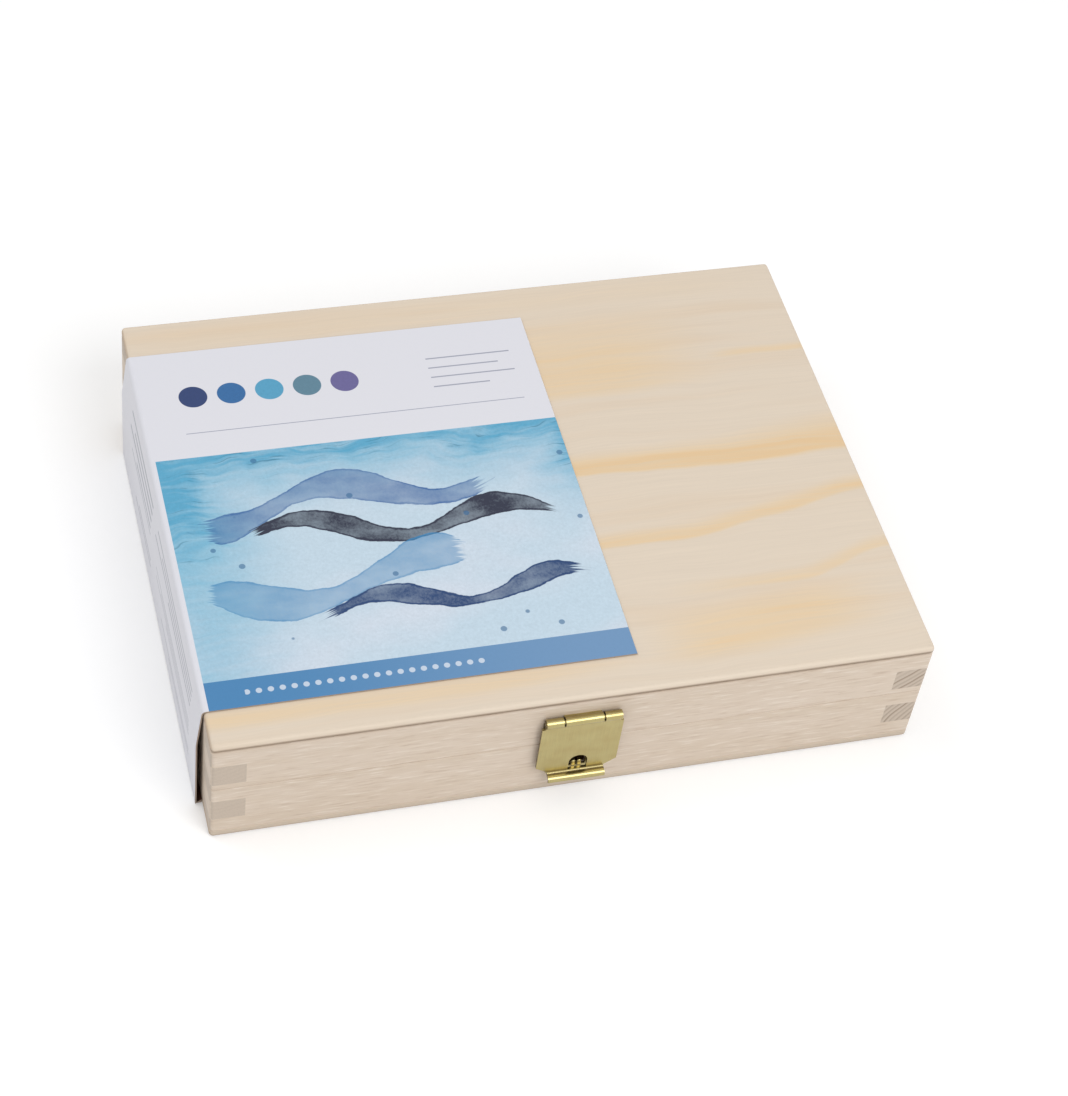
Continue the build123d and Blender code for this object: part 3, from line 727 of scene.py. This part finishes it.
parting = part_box("base_back_board")[1].z
for side in ("left", "right"):
    for half, way in (("base", -1), ("lid", 1)):
        low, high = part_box(f"hinge_{side}_{half}_leaf")
        middle = (low.x + high.x) / 2
        for number, aside in enumerate((-SCREW_ASIDE, SCREW_ASIDE), start=1):
            place = Vector((middle + aside * MM, low.y + SCREW_INSET * MM, parting + way * HALF_LEAF_GAP))
            mesh_piece(f"hinge_{side}_{half}_screw_{number}", screw_head(place, Vector((0, 0, -way))),
                       materials["hinge"], half)

# A dark wedge of painted shade at the foot of the card's side
mesh_piece("sleeve_shade_lip", card_shade_lip, materials["card"], "sleeve")


# Camera, at the photograph's place. Its focal length is in pixels of the 1068 x 1096 image
AZIMUTH, ELEVATION, ROLL = math.radians(-21.164), math.radians(48.688), math.radians(9.126)
CAMERA_PLACE = (-0.16603, -0.45017, 0.55858)
FOCAL_PIXELS, LONG_SIDE_PIXELS, SENSOR = 2631.65, 1096, 36

back = Vector((math.sin(AZIMUTH) * math.cos(ELEVATION), -math.cos(AZIMUTH) * math.cos(ELEVATION),
               math.sin(ELEVATION)))
level = Vector((math.cos(AZIMUTH), math.sin(AZIMUTH), 0))
upward = back.cross(level)
right = level * math.cos(ROLL) + upward * math.sin(ROLL)
up = upward * math.cos(ROLL) - level * math.sin(ROLL)
camera_data = bpy.data.cameras.new("camera")
camera_data.lens = SENSOR * FOCAL_PIXELS / LONG_SIDE_PIXELS
camera_data.sensor_width = SENSOR
camera_data.clip_start = 0.01
camera = bpy.data.objects.new("camera", camera_data)
scene.collection.objects.link(camera)
turn = Matrix((right, up, back)).transposed().to_4x4()
camera.matrix_world = Matrix.Translation(CAMERA_PLACE) @ turn
scene.camera = camera


# Floor, sky and lamps. What the camera sees of floor and sky is white, and their light stays soft
FLOOR_HALF = 3.0
FLOOR_GREY = (0.84, 0.84, 0.84, 1)
WHITE = (1, 1, 1, 1)
NEAR_GLOW, FAR_GLOW = (0.4, 0.27), (2.0, 0.6)
SKY_LIGHT, SKY_SEEN = 0.6, 1.0


def seen_directly(tree):
    """1 for camera, glossy and transmission rays."""
    path = tree.nodes.new("ShaderNodeLightPath")
    highest = path.outputs["Is Camera Ray"]
    for name in ("Is Glossy Ray", "Is Transmission Ray"):
        node = tree.nodes.new("ShaderNodeMath")
        node.operation = "MAXIMUM"
        tree.links.new(highest, node.inputs[0])
        tree.links.new(path.outputs[name], node.inputs[1])
        highest = node.outputs[0]
    return highest


def map_range(tree, value, low, high, start, end):
    node = tree.nodes.new("ShaderNodeMapRange")
    tree.links.new(value, node.inputs[0])
    for socket, item in zip(node.inputs[1:], (low, high, start, end)):
        socket.default_value = item
    return node.outputs[0]


def floor_white():
    """Matt pale floor that keeps shadows. It glows a little for the camera, more so far away."""
    paint = bpy.data.materials.new("floor_white")
    paint.use_nodes = True
    tree = paint.node_tree
    shader = tree.nodes["Principled BSDF"]
    for socket, value in (("Base Color", FLOOR_GREY), ("Roughness", 1.0), ("Specular IOR Level", 0.0),
                          ("Emission Color", WHITE)):
        shader.inputs[socket].default_value = value
    place = tree.nodes.new("ShaderNodeTexCoord")
    reach = tree.nodes.new("ShaderNodeVectorMath")
    reach.operation = "LENGTH"
    tree.links.new(place.outputs["Object"], reach.inputs[0])
    far_glow = map_range(tree, reach.outputs["Value"], NEAR_GLOW[0], FAR_GLOW[0], NEAR_GLOW[1], FAR_GLOW[1])
    glow = tree.nodes.new("ShaderNodeMath")
    glow.operation = "MULTIPLY"
    tree.links.new(seen_directly(tree), glow.inputs[0])
    tree.links.new(far_glow, glow.inputs[1])
    tree.links.new(glow.outputs[0], shader.inputs["Emission Strength"])
    return paint


floor_mesh = bpy.data.meshes.new("floor")
floor_corners = [(x * FLOOR_HALF, y * FLOOR_HALF, 0) for x, y in ((-1, -1), (1, -1), (1, 1), (-1, 1))]
floor_mesh.from_pydata(floor_corners, [], [(0, 1, 2, 3)])
floor_mesh.materials.append(floor_white())
floor = bpy.data.objects.new("floor", floor_mesh)
scene.collection.objects.link(floor)

world = bpy.data.worlds.new("studio")
scene.world = world
world.use_nodes = True
sky_tree = world.node_tree
sky = sky_tree.nodes["Background"]
sky.inputs["Color"].default_value = WHITE
sky_level = map_range(sky_tree, seen_directly(sky_tree), 0.0, 1.0, SKY_LIGHT, SKY_SEEN)
sky_tree.links.new(sky_level, sky.inputs["Strength"])


def lamp(name, place, size, watts):
    """A round lamp that points at the box's middle."""
    data = bpy.data.lights.new(name, "AREA")
    data.shape = "DISK"
    data.size = size
    data.energy = watts
    item = bpy.data.objects.new(name, data)
    scene.collection.objects.link(item)
    item.location = place
    item.rotation_euler = (Vector((0, 0, 0.02)) - Vector(place)).to_track_quat("-Z", "Y").to_euler()


lamp("key", (0.34, -0.85, 0.95), 0.8, 6.4)
lamp("fill", (-0.5, 0.3, 1.0), 0.6, 1.8)

scene.view_settings.view_transform = "Standard"
